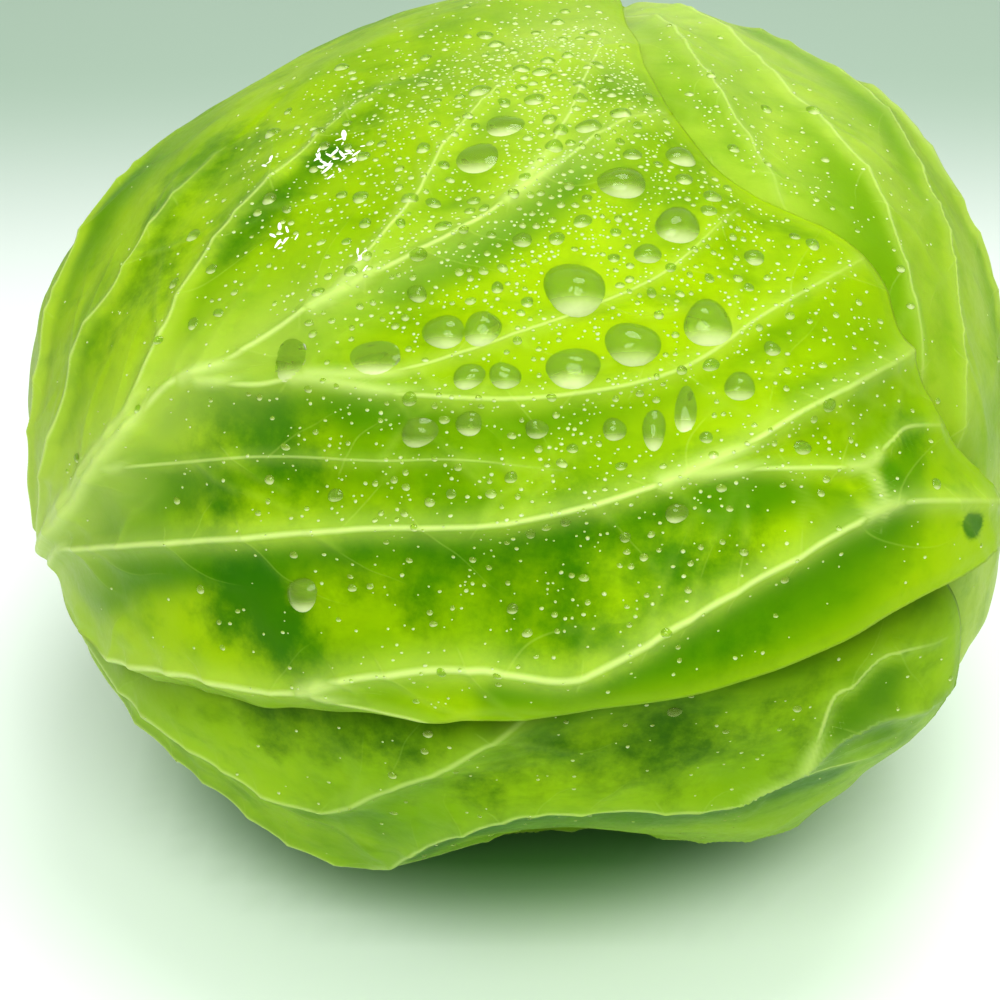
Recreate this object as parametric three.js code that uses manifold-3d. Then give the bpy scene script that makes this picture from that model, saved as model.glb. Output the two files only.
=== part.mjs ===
/**
 * White cabbage: one trimmed head lying on its side, with its cut stalk at the -X end.
 *
 * Millimetres, +Z up. The origin is the middle of the head's footprint, on the surface it rests on.
 * Every leaf is a curved sheet of even thickness that wraps the packed heart. A place on the head is
 * named by two angles seen from the head's centre: "down" is the angle from the stalk's axis, so 0 is
 * the stalk and 180 the crown, and "round" turns about that axis, with 0 on top and 90 at the front.
 */
import * as THREE from "three";
import { mergeVertices } from "three/addons/utils/BufferGeometryUtils.js";
import Module from "manifold-3d";

// Driving dimensions of the head.
const HEART = { x: 78.5, y: 72.5, z: 65.5 }; // half-sizes of the packed heart
const HEART_POWER = 2.1; // 2 would be an ellipsoid; more is boxier
const CENTRE = new THREE.Vector3(1.6, 2.1, 68.5); // of the heart, above the surface
const STALK_AXIS = new THREE.Vector3(-0.965, -0.125, -0.23).normalize();

// Driving dimensions of the leaves.
const LEAF_THICKNESS = 1.2;
const LEAF_GAP = 1.3; // air between one leaf and the next
const CLIMB = 14; // degrees over which a leaf climbs onto the margin of the one beneath
const LEAF_CELL = 7; // degrees that one facet of a leaf spans, at most
const HEART_CELLS = 12; // facets along each edge of the cube that the heart is blown up from
const OUTLINE_STEP = 1.5; // degrees between the samples of a leaf's outline
const REST_EASE = 1; // depth of the rounding where the head turns into its flat underside

// Driving dimensions of the stalk: [distance from the head's centre, radius].
const STALK_PROFILE = [[14, 3.5], [32, 7], [52, 11], [70, 13.5], [77, 14], [81, 13]];
const STALK_SIDES = 28;
const STALK_CLEARANCE = 0.5;

// Broad swells and hollows of the whole head: where, how far round them they reach, and how high.
const SWELLS = [
  { middle: [66, -22], spread: 21, rise: -5 },
  { middle: [136, -24], spread: 14, rise: 3 },
  { middle: [161, 100], spread: 15, rise: -2.5 },
  { middle: [80, 131], spread: 12, rise: -8 },
  { middle: [103, 127], spread: 10, rise: 3 },
  { middle: [55, 125], spread: 9, rise: 3.2 },
  { middle: [128, 112], spread: 12, rise: 3.5 },
];

/**
 * The outer leaves, from the innermost to the outermost. middle is the place the leaf is spread out
 * from, as [down, round]. margin gives the leaf's reach from there, as [heading, reach] in degrees:
 * heading 0 points at the crown, 90 further round and 180 at the stalk. flares lift the margin.
 */
const LEAVES = [
  {
    name: "tip_leaf",
    colour: 0xb9d65a,
    middle: [118, 140],
    margin: [[0, 88], [35, 80], [70, 66], [105, 62], [140, 74], [165, 98], [180, 104],
      [195, 98], [220, 74], [255, 62], [290, 66], [325, 80]],
    flares: [],
  },
  {
    name: "crown_leaf",
    colour: 0xa9cf4e,
    middle: [112, -10],
    margin: [[0, 92], [30, 96], [60, 100], [85, 84], [110, 68], [140, 74], [165, 94], [180, 98],
      [195, 94], [220, 76], [250, 68], [280, 74], [310, 82], [335, 86]],
    flares: [],
  },
  {
    name: "lower_back_leaf",
    colour: 0x8fc22e,
    middle: [76, 232],
    margin: [[0, 50], [30, 56], [60, 54], [90, 50], [120, 49], [142, 53], [160, 59], [180, 62],
      [200, 60], [218, 54], [240, 49], [270, 50], [300, 53], [330, 53]],
    flares: [],
  },
  {
    name: "back_leaf",
    colour: 0x93c620,
    middle: [74, 302],
    margin: [[0, 52], [30, 50], [60, 50], [90, 48], [116, 48], [142, 51], [160, 57], [180, 60],
      [198, 59], [219, 53], [240, 49], [270, 50], [300, 55], [330, 57]],
    flares: [],
  },
  {
    name: "lower_front_leaf",
    colour: 0x7fb51c,
    middle: [80, 142],
    margin: [[0, 35], [20, 35], [37, 39], [55, 55], [76, 69], [97, 69], [119, 66], [141, 65], [168, 68],
      [180, 67], [192, 72], [202, 72], [220, 67], [241, 66], [263, 69], [285, 70], [306, 71], [318, 69],
      [325, 61], [330, 48], [337, 39], [348, 35.5]],
    flares: [],
  },
  {
    name: "front_leaf",
    colour: 0x96c411,
    middle: [68, 32],
    margin: [[0, 54], [12, 66], [22, 70], [30, 77], [34, 88], [38, 85], [45, 76], [56, 67], [68, 58.5],
      [81, 52.5], [100, 46.5], [115, 46.5], [130, 47.5], [150, 51], [165, 55], [180, 55], [192, 60],
      [207, 67], [223, 67], [240, 64.5], [258, 62], [275, 64], [292, 69], [306, 73], [319, 63],
      [332, 55], [345, 51]],
    flares: [{ heading: 70, spread: 52, reach: 15, rise: 4.5 }],
  },
];

const radians = THREE.MathUtils.degToRad;
const degrees = THREE.MathUtils.radToDeg;

// The two directions across the stalk's axis that "round" is measured in: on top, and to the front.
const onTop = new THREE.Vector3(0, 0, 1).projectOnPlane(STALK_AXIS).normalize();
const toFront = new THREE.Vector3().crossVectors(onTop, STALK_AXIS).normalize();

/** Unit vector that leaves `pole` by `reach` degrees, on the heading between `ahead` and `aside`. */
function swing(pole, ahead, aside, heading, reach) {
  const across = ahead.clone().multiplyScalar(Math.cos(heading));
  across.addScaledVector(aside, Math.sin(heading));
  return pole.clone().multiplyScalar(Math.cos(radians(reach))).addScaledVector(across, Math.sin(radians(reach)));
}

/** Unit vector from the head's centre to a place given as degrees down and round. */
function toward(down, round) {
  return swing(STALK_AXIS, onTop, toFront, radians(round), down);
}

/** Angle in degrees between two directions. */
function angleBetween(way, other) {
  return degrees(Math.acos(THREE.MathUtils.clamp(way.dot(other), -1, 1)));
}

/** Distance from the head's centre to the heart's skin. */
function heartRadius(way) {
  const sum = Math.abs(way.x / HEART.x) ** HEART_POWER
    + Math.abs(way.y / HEART.y) ** HEART_POWER
    + Math.abs(way.z / HEART.z) ** HEART_POWER;
  let radius = sum ** (-1 / HEART_POWER);
  for (const swell of SWELLS) {
    radius += swell.rise * Math.exp(-0.5 * (angleBetween(way, toward(...swell.middle)) / swell.spread) ** 2);
  }
  return radius;
}

/** Reach of a leaf on a heading in degrees: a smooth closed curve through its margin points. */
function marginReach(margin, heading) {
  const count = margin.length;
  const turn = ((heading % 360) + 360) % 360;
  let last = count - 1;
  while (margin[last][0] > turn) {
    last -= 1;
  }
  const knot = (index) => {
    const [angle, reach] = margin[((index % count) + count) % count];
    return [angle + 360 * Math.floor(index / count), reach];
  };
  const [before, from, to, after] = [knot(last - 1), knot(last), knot(last + 1), knot(last + 2)];
  const span = to[0] - from[0];
  const part = (turn - from[0]) / span;
  const leave = ((to[1] - before[1]) / (to[0] - before[0])) * span;
  const arrive = ((after[1] - from[1]) / (after[0] - from[0])) * span;
  return from[1] * (2 * part ** 3 - 3 * part ** 2 + 1)
    + leave * (part ** 3 - 2 * part ** 2 + part)
    + to[1] * (3 * part ** 2 - 2 * part ** 3)
    + arrive * (part ** 3 - part ** 2);
}

/** Give each leaf the directions that its headings and reaches are measured in, and its outline. */
for (const leaf of LEAVES) {
  const [down, round] = leaf.middle;
  leaf.pole = toward(down, round);
  leaf.ahead = toward(down + 90, round);
  leaf.aside = new THREE.Vector3().crossVectors(leaf.ahead, leaf.pole);
  leaf.outline = [];
  for (let heading = 0; heading < 360; heading += OUTLINE_STEP) {
    const reach = marginReach(leaf.margin, heading);
    leaf.outline.push(swing(leaf.pole, leaf.ahead, leaf.aside, radians(heading), reach));
  }
}

/** Heading of a direction as a leaf sees it, and how many degrees it lies outside the margin. */
function seenBy(leaf, way) {
  const heading = degrees(Math.atan2(way.dot(leaf.aside), way.dot(leaf.ahead)));
  const side = Math.sign(angleBetween(way, leaf.pole) - marginReach(leaf.margin, heading));
  const nearest = Math.max(...leaf.outline.map((point) => point.dot(way)));
  return { heading, outside: side * degrees(Math.acos(Math.min(nearest, 1))) };
}

/** 1 where a leaf lies, falling to 0 over the climb outside its margin. */
function cover(leaf, way) {
  return 1 - THREE.MathUtils.smoothstep(seenBy(leaf, way).outside, 0, CLIMB);
}

/** Height that a leaf's flares add at a direction. */
function flareRise(leaf, way) {
  const { heading, outside } = seenBy(leaf, way);
  let rise = 0;
  for (const flare of leaf.flares) {
    const off = Math.abs(THREE.MathUtils.euclideanModulo(heading - flare.heading + 180, 360) - 180);
    const along = 1 - THREE.MathUtils.smoothstep(off, 0, flare.spread);
    rise += flare.rise * along * THREE.MathUtils.smoothstep(outside, -flare.reach, 0);
  }
  return rise;
}

/** Thickness of the leaves stacked at a direction, from one place in the order up to another. */
function stack(way, from, to) {
  let height = 0;
  for (const leaf of LEAVES.slice(from, to)) {
    height += (LEAF_THICKNESS + LEAF_GAP) * cover(leaf, way);
  }
  return height;
}

/** Keep a distance along a direction from passing a level above the surface the head rests on. */
function keepAbove(level, way, distance) {
  if (way.z >= 0) {
    return distance;
  }
  const limit = (CENTRE.z - level) / -way.z;
  const ease = Math.max(REST_EASE - Math.abs(distance - limit), 0);
  return Math.min(distance, limit) - ease ** 2 / (4 * REST_EASE);
}

/** Point on the outer face of leaf number `order`, or `depth` under it. */
function leafPoint(order, way, depth) {
  const leaf = LEAVES[order];
  const lift = stack(way, 0, order) + LEAF_GAP + LEAF_THICKNESS + flareRise(leaf, way);
  const outerLevel = stack(way, order + 1, LEAVES.length);
  const distance = keepAbove(outerLevel + depth, way, heartRadius(way) + lift - depth);
  return CENTRE.clone().addScaledVector(way, distance);
}

/** A point of the unit square, -1 to 1 each way, pressed into the unit disc: [heading, share]. */
function squareToDisc(u, v) {
  if (u === 0 && v === 0) {
    return [0, 0];
  }
  if (Math.abs(u) >= Math.abs(v)) {
    return [(Math.PI / 4) * (v / u) + (u < 0 ? Math.PI : 0), Math.abs(u)];
  }
  return [Math.PI / 2 - (Math.PI / 4) * (u / v) + (v < 0 ? Math.PI : 0), Math.abs(v)];
}

/** Closed sheet of one leaf: its outer face, its inner face and the rim between them. */
function leafGeometry(order) {
  const leaf = LEAVES[order];
  const furthest = Math.max(...leaf.margin.map(([, reach]) => reach));
  const cells = 2 * Math.ceil(furthest / LEAF_CELL);
  const row = cells + 1;
  const points = [];
  for (const depth of [0, LEAF_THICKNESS]) {
    for (let i = 0; i < row; i += 1) {
      for (let j = 0; j < row; j += 1) {
        const [heading, share] = squareToDisc((2 * i) / cells - 1, (2 * j) / cells - 1);
        const reach = share * marginReach(leaf.margin, degrees(heading));
        const way = swing(leaf.pole, leaf.ahead, leaf.aside, heading, reach);
        points.push(leafPoint(order, way, depth));
      }
    }
  }
  const faces = [];
  const inner = row * row;
  const quad = (a, b, c, d) => faces.push([a, b, c], [a, c, d]);
  for (let i = 0; i < cells; i += 1) {
    for (let j = 0; j < cells; j += 1) {
      const a = i * row + j;
      quad(a, a + 1, a + row + 1, a + row);
      quad(inner + a, inner + a + row, inner + a + row + 1, inner + a + 1);
    }
  }
  for (let i = 0; i < cells; i += 1) {
    const edges = [
      [(i + 1) * row, i * row],
      [i * row + cells, (i + 1) * row + cells],
      [i, i + 1],
      [cells * row + i + 1, cells * row + i],
    ];
    for (const [a, b] of edges) {
      quad(b, a, inner + a, inner + b);
    }
  }
  return polyhedron(points, faces);
}

/** Triangle mesh from a list of points and a list of corner numbers. */
function polyhedron(points, faces) {
  const geometry = new THREE.BufferGeometry();
  geometry.setAttribute("position", new THREE.Float32BufferAttribute(points.flatMap((p) => p.toArray()), 3));
  geometry.setIndex(faces.flat());
  return geometry;
}

/** Solid for manifold-3d from a closed geometry. */
function toSolid(kernel, geometry) {
  const bare = geometry.clone();
  bare.deleteAttribute("normal");
  bare.deleteAttribute("uv");
  const merged = mergeVertices(bare, 1e-4);
  const vertProperties = new Float32Array(merged.attributes.position.array);
  const triVerts = new Uint32Array(merged.index.array);
  return new kernel.Manifold(new kernel.Mesh({ numProp: 3, vertProperties, triVerts }));
}

/** Geometry from a manifold-3d solid. */
function fromSolid(solid) {
  const mesh = solid.getMesh();
  const geometry = new THREE.BufferGeometry();
  geometry.setAttribute("position", new THREE.Float32BufferAttribute(mesh.vertProperties, 3));
  geometry.setIndex(Array.from(mesh.triVerts));
  return geometry;
}

/** Round stalk on the stalk's axis, with `grow` added all round and `more` beyond its cut end. */
function stalkGeometry(grow, more) {
  const profile = STALK_PROFILE.map(([distance, radius]) => new THREE.Vector2(radius + grow, distance));
  const [tip, end] = [profile[0], profile[profile.length - 1]];
  end.y += more;
  const outline = [new THREE.Vector2(0, tip.y - grow), ...profile, new THREE.Vector2(0, end.y)];
  const geometry = new THREE.LatheGeometry(outline, STALK_SIDES);
  const turn = new THREE.Quaternion().setFromUnitVectors(new THREE.Vector3(0, 1, 0), STALK_AXIS);
  return geometry.applyQuaternion(turn).translate(...CENTRE.toArray());
}

/** Packed heart: a cube blown up to the heart's skin, with a hollow where the stalk enters it. */
function heartGeometry(kernel) {
  const geometry = new THREE.BoxGeometry(2, 2, 2, HEART_CELLS, HEART_CELLS, HEART_CELLS);
  const position = geometry.attributes.position;
  const even = (value) => Math.tan((value * Math.PI) / 4);
  for (let i = 0; i < position.count; i += 1) {
    const way = new THREE.Vector3(even(position.getX(i)), even(position.getY(i)), even(position.getZ(i)));
    way.normalize();
    const level = stack(way, 0, LEAVES.length);
    const point = way.clone().multiplyScalar(keepAbove(level, way, heartRadius(way))).add(CENTRE);
    position.setXYZ(i, point.x, point.y, point.z);
  }
  const hollow = toSolid(kernel, stalkGeometry(STALK_CLEARANCE, 20));
  return fromSolid(toSolid(kernel, geometry).subtract(hollow));
}

/** Named mesh with its own material. */
function piece(name, geometry, colour, roughness) {
  const material = new THREE.MeshStandardMaterial({ color: colour, roughness, metalness: 0 });
  const mesh = new THREE.Mesh(geometry, material);
  mesh.name = name;
  return mesh;
}

const kernel = await Module();
kernel.setup();

const cabbage = new THREE.Group();
cabbage.add(piece("stalk", stalkGeometry(0, 0), 0xd9e2b0, 0.7));
cabbage.add(piece("heart", heartGeometry(kernel), 0xcfe08a, 0.5));
LEAVES.forEach((leaf, order) => {
  cabbage.add(piece(leaf.name, leafGeometry(order), leaf.colour, 0.35));
});

export default cabbage;
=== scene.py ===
"""White cabbage on its side: finely ribbed wet leaves, a packed heart and a cut stalk, in a pale studio.

Lengths are millimetres until a mesh is made, and metres inside the materials. A place on the head is
named by two angles seen from the head's centre: "down" runs from the stalk (0) to the crown (180), and
"round" turns about the stalk's axis, with 0 on top and 90 at the front.
"""
import math

import bpy
import numpy as np
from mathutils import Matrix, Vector


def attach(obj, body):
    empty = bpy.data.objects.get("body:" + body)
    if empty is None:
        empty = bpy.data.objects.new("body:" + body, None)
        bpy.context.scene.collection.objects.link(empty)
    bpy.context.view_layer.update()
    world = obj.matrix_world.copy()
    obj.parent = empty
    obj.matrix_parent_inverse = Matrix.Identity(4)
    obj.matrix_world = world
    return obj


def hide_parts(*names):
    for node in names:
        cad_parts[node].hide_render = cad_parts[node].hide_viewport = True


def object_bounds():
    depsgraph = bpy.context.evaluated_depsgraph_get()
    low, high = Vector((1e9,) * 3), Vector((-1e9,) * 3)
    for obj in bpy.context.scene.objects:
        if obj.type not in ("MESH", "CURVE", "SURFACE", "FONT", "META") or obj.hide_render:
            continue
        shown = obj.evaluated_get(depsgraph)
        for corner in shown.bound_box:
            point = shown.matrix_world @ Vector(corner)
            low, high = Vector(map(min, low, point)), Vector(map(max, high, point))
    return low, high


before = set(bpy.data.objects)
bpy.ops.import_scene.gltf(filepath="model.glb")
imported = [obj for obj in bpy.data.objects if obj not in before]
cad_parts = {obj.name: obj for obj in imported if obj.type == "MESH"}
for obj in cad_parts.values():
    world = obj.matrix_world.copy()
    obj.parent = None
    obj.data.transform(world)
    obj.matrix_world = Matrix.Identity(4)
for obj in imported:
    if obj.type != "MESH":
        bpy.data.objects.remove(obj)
cad_low, cad_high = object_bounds()

MM = 0.001
FOOT = Vector((0, 0, cad_low.z / MM))  # the frame's origin, under the head on the resting surface

# ---------------------------------------------------------------- the head's shape, as in the CAD

HEART_HALF = np.array([78.5, 72.5, 65.5])
HEART_POWER = 2.1
CENTRE = np.array([FOOT.x + 1.6, FOOT.y + 2.1, FOOT.z + 68.5])
STALK_AXIS = np.array([-0.965, -0.125, -0.23])
LEAF_THICKNESS = 1.2
MARGIN_THICKNESS = 0.5
LEAF_GAP = 1.3
CLIMB = 14.0
REST_EASE = 1.0
MEAN_RADIUS = 77.0
RIPPLE_WAVES = 14  # how many waves one ripple is the sum of
STALK_PROFILE = [(14, 3.5), (32, 7), (52, 11), (70, 13.5), (77, 14), (81, 13)]

# place as (down, round), spread in degrees, rise
SWELLS = [
    ((66, -22), 21, -5),
    ((136, -24), 14, 3),
    ((161, 100), 15, -2.5),
    ((80, 131), 12, -8),
    ((103, 127), 10, 3),
    ((55, 125), 9, 3.2),
    ((128, 112), 12, 3.5),
]


def unit(vectors):
    return vectors / np.linalg.norm(vectors, axis=-1, keepdims=True)


STALK_AXIS = unit(STALK_AXIS)
ON_TOP = unit(np.array([0, 0, 1.0]) - STALK_AXIS[2] * STALK_AXIS)
TO_FRONT = np.cross(ON_TOP, STALK_AXIS)


def swing(pole, ahead, aside, heading, reach):
    """Directions that leave pole by reach degrees, on a heading in degrees between ahead and aside."""
    heading, reach = np.radians(heading), np.radians(reach)
    across = np.cos(heading)[..., None] * ahead + np.sin(heading)[..., None] * aside
    return np.cos(reach)[..., None] * pole + np.sin(reach)[..., None] * across


def toward(down, around):
    """Directions from the head's centre to places given as degrees down and round."""
    down, around = np.asarray(down, float), np.asarray(around, float)
    return swing(STALK_AXIS, ON_TOP, TO_FRONT, around, down)


def smoothstep(value, low, high):
    share = np.clip((value - low) / (high - low), 0, 1)
    return share * share * (3 - 2 * share)


def angle_between(ways, other):
    return np.degrees(np.arccos(np.clip(ways @ other, -1, 1)))


def bell(ways, place, spread):
    """1 towards a place, falling smoothly to nothing a few times spread degrees away."""
    return np.exp(-0.5 * (angle_between(ways, toward(*place)) / spread) ** 2)


def heart_radius(ways):
    total = (np.abs(ways / HEART_HALF) ** HEART_POWER).sum(axis=-1)
    radius = total ** (-1 / HEART_POWER)
    for place, spread, rise in SWELLS:
        radius = radius + rise * bell(ways, place, spread)
    return radius


def keep_above(level, ways, distance):
    """Keeps a distance along each direction from passing a level above the resting surface."""
    depth = np.minimum(ways[:, 2], -1e-6)
    limit = (CENTRE[2] - FOOT.z - level) / -depth
    ease = np.maximum(REST_EASE - np.abs(distance - limit), 0)
    kept = np.minimum(distance, limit) - ease**2 / (4 * REST_EASE)
    return np.where(ways[:, 2] < 0, kept, distance)


def ripple(ways, size, seed):
    """Smooth seeded unevenness between about -1 and 1, with waves about size millimetres long."""
    draw = np.random.default_rng(seed)
    waves = unit(draw.normal(size=(RIPPLE_WAVES, 3))) * (2 * math.pi * MEAN_RADIUS / size)
    waves = waves * draw.uniform(0.7, 1.4, (RIPPLE_WAVES, 1))
    phases = draw.uniform(0, 2 * math.pi, RIPPLE_WAVES)
    return np.sin(ways @ waves.T + phases).sum(axis=-1) / math.sqrt(RIPPLE_WAVES)


# ---------------------------------------------------------------- ribs

RIB_STEP = 0.6  # degrees between the samples of a rib
RIB_REACH = 26.0  # millimetres beyond which a rib changes nothing
VEIN_SPACING = 8.5  # millimetres along a rib between the fine veins that leave it
FAR = 40.0  # millimetres, stands for no rib near
ABOVE, BELOW = 1.25, 0.6  # a rib's fold is this much wider above the rib and narrower below it
MERGING = (2.2, 4.0)  # millimetres to a second rib over which the shader's crisp line takes over from "soft"
LINE_LIMIT = (1.8, 3.0)  # millimetres from a rib over which its crisp line gives out
SIDE_RIB = [(0, 0), (13, 12), (28, 25), (44, 36), (56, 42)]  # degrees ahead and aside from where it starts


def smooth_path(knots):
    """Directions along a smooth curve through a few directions."""
    knots = np.vstack([2 * knots[0] - knots[1], knots, 2 * knots[-1] - knots[-2]])
    pieces = []
    for a, b, c, d in zip(knots, knots[1:], knots[2:], knots[3:]):
        count = max(2, int(math.ceil(angle_between(b, c / np.linalg.norm(c)) / RIB_STEP)))
        t = np.linspace(0, 1, count, endpoint=False)[:, None]
        pieces.append(0.5 * (2 * b + (c - a) * t + (2 * a - 5 * b + 4 * c - d) * t**2
                             + (3 * b - a - 3 * c + d) * t**3))
    pieces.append(knots[-2:-1])
    return unit(np.vstack(pieces))


class Rib:
    """A raised pale vein through places given as (down, round), or through directions.

    A pair holds the value at the start and the one at the end. line is the half-width of the pale line,
    band the half-width of the faint zone round it, ridge the height of the vein, crest the height of
    the broad fold that it runs along, spread the width of that fold, pale is from 0 to 1, and reach
    is how far off the rib still changes the leaf.
    """

    def __init__(self, points, line=(0.6, 0.35), band=(1.6, 0.8), ridge=(0.5, 0.25), crest=(1.6, 0.8),
                 spread=8.0, pale=(0.75, 0.5), reach=RIB_REACH):
        points = np.array(points, float)
        self.curve = smooth_path(toward(*points.T) if points.shape[1] == 2 else points)
        steps = np.gradient(self.curve, axis=0)
        self.steps = np.linalg.norm(steps, axis=1)
        self.tangents = unit(steps)
        self.line, self.band, self.ridge, self.crest = line, band, ridge, crest
        self.spread, self.pale, self.reach = spread, pale, reach

    def near(self, ways):
        """Numbers of the directions that the rib can change."""
        limit = math.cos(self.reach / MEAN_RADIUS + math.radians(2.5))
        return np.flatnonzero((ways @ self.curve[::5].T).max(axis=1) > limit)

    def place(self, ways):
        """Distance from the rib, distance to its lower side, both in millimetres, and share of its length."""
        nearest = (ways @ self.curve.T).argmax(axis=1)
        on_rib, tangents = self.curve[nearest], self.tangents[nearest]
        offset = ways - on_rib
        along = (offset * tangents).sum(axis=1)
        side = -(offset * np.cross(on_rib, tangents)).sum(axis=1)
        last = len(self.curve) - 1
        past_end = ((nearest == 0) & (along < 0)) | ((nearest == last) & (along > 0))
        distance = np.hypot(side, np.where(past_end, along, 0))
        share = np.clip((nearest + along / self.steps[nearest]) / last, 0, 1)
        return distance * MEAN_RADIUS, side * MEAN_RADIUS, share


def between(pair, share):
    return pair[0] + (pair[1] - pair[0]) * share


def rib_fields(ways, ribs):
    """What a set of ribs gives each direction: heights, faint bands, painted fold shading (painted shade
    below each rib, painted light above it) and the nearest rib's own values.
    """
    names = ("ridge", "crest", "band", "painted_fold_shading", "side", "pale", "soft")
    fields = {name: np.zeros(len(ways)) for name in names}
    fields["away"], second = np.full(len(ways), FAR), np.full(len(ways), FAR)
    fields["line"] = np.full(len(ways), 0.5)
    for rib in ribs:
        near = rib.near(ways)
        if not len(near):
            continue
        distance, side, share = rib.place(ways[near])
        line, band = between(rib.line, share), between(rib.band, share)
        crest, pale = between(rib.crest, share), between(rib.pale, share)
        end = 1 - smoothstep(share, 0.8, 1)
        inner = end * smoothstep(share, 0, 0.12)  # 0 at both ends of the rib
        fade = 1 - smoothstep(distance, 0.4 * rib.reach, rib.reach)
        spread = rib.spread * np.where(side > 0, BELOW, ABOVE)
        tent = np.exp(-(np.hypot(distance, 0.8 * line) - 0.8 * line) / spread) * fade
        round_ridge = np.exp(-((distance / (line + 0.5)) ** 2))
        fields["ridge"][near] += (between(rib.ridge, share) * round_ridge) ** 4
        fields["crest"][near] += (crest * tent) ** 3
        fields["band"][near] = np.maximum(fields["band"][near], pale * np.exp(-((distance / band) ** 2)))
        # painted fold shading: positive, for painted shade, on a rib's lower side and negative, for painted
        # light, on its upper side
        fields["painted_fold_shading"][near] += (np.sign(side) * np.minimum(crest, 1) * inner * fade
                                   * (1 - np.exp(-((distance / 2.2) ** 2))) * np.exp(-distance / 15))
        soft = 0.85 * pale * end * np.exp(-((distance / (0.7 * line + 0.55)) ** 2))
        fields["soft"][near] = np.maximum(fields["soft"][near], soft)
        nearer = distance < fields["away"][near]
        second[near] = np.where(nearer, fields["away"][near], np.minimum(second[near], distance))
        chosen = near[nearer]
        fields["away"][chosen] = distance[nearer]
        fields["side"][chosen] = side[nearer]
        fields["line"][chosen] = line[nearer]
        fields["pale"][chosen] = (pale * (0.25 + 0.75 * end))[nearer]
    alone = smoothstep(second, *MERGING)
    fields["pale"] *= alone
    fields["soft"] *= 1 - alone
    fields["ridge"] **= 0.25
    fields["crest"] **= 1 / 3
    return fields


def side_veins(ribs, seed):
    """Fine veins that leave the ribs on alternate sides, lean towards the leaf's tip and wander."""
    draw = np.random.default_rng(seed)
    stride = int(VEIN_SPACING / (math.radians(RIB_STEP) * MEAN_RADIUS))
    veins = []
    for rib in ribs:
        for number in range(2 * stride, len(rib.curve) - stride // 2, stride):
            start = min(number + int(draw.integers(-3, 4)), len(rib.curve) - 1)
            here, ahead = rib.curve[start], rib.tangents[start]
            turn = math.radians(draw.uniform(35, 62)) * (1 if draw.random() < 0.5 else -1)
            stretch = draw.uniform(9, 22) / 5 / MEAN_RADIUS
            walk = [here]
            for _ in range(5):
                aside = np.cross(here, ahead)
                here = unit(here + stretch * (math.cos(turn) * ahead + math.sin(turn) * aside))
                ahead = unit(ahead - (ahead @ here) * here)
                turn = turn * draw.uniform(0.72, 1.0) + draw.uniform(-0.22, 0.22)
                walk.append(here)
            veins.append(Rib(walk, line=(0.26, 0.14), band=(0.7, 0.4), ridge=(0.12, 0.04), crest=(0.5, 0.15),
                             spread=3.0, pale=(0.25, 0.05), reach=9.0))
    return veins


def rib_fan(around, end, pairs, seed):
    """Midrib and side ribs of a leaf that spreads from the stalk at a bearing round it."""
    draw = np.random.default_rng(seed)
    sway = draw.uniform(-4, 4, 4)
    midrib = [(16, around), (0.4 * end, around + sway[0]), (0.7 * end, around + sway[1]),
              (end, around + sway[2])]
    ribs = [Rib(midrib, line=(1.6, 0.4), band=(6, 1.2), ridge=(1.6, 0.3), crest=(1.6, 0.8), spread=9)]
    for pair in range(pairs):
        for side in (-1, 1):
            start = 20 + 15 * pair + draw.uniform(-3, 3)
            bend = side * draw.uniform(0.85, 1.15)
            points = [(start + ahead, around + aside * bend) for ahead, aside in SIDE_RIB]
            ribs.append(Rib(points, line=(0.8, 0.35), ridge=(0.7, 0.25)))
    return ribs


# ---------------------------------------------------------------- leaves

def turn_between(heading, other):
    """Degrees between two headings, from 0 to 180."""
    return np.abs((heading - other + 180) % 360 - 180)


def margin_reach(margin, heading):
    """Reach of a leaf on each heading in degrees: a smooth closed curve through its margin points."""
    angle, reach = np.array(margin, float).T
    count = len(angle)
    turn = np.mod(heading, 360)
    first = np.searchsorted(angle, turn, side="right") - 1

    def knot(index):
        return angle[index % count] + 360 * (index // count), reach[index % count]

    (a0, r0), (a1, r1), (a2, r2), (a3, r3) = (knot(first + k) for k in (-1, 0, 1, 2))
    span = a2 - a1
    t = (turn - a1) / span
    leave = (r2 - r0) / (a2 - a0) * span
    arrive = (r3 - r1) / (a3 - a1) * span
    return (r1 * (2 * t**3 - 3 * t**2 + 1) + leave * (t**3 - 2 * t**2 + t)
            + r2 * (3 * t**2 - 2 * t**3) + arrive * (t**3 - t**2))


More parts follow.
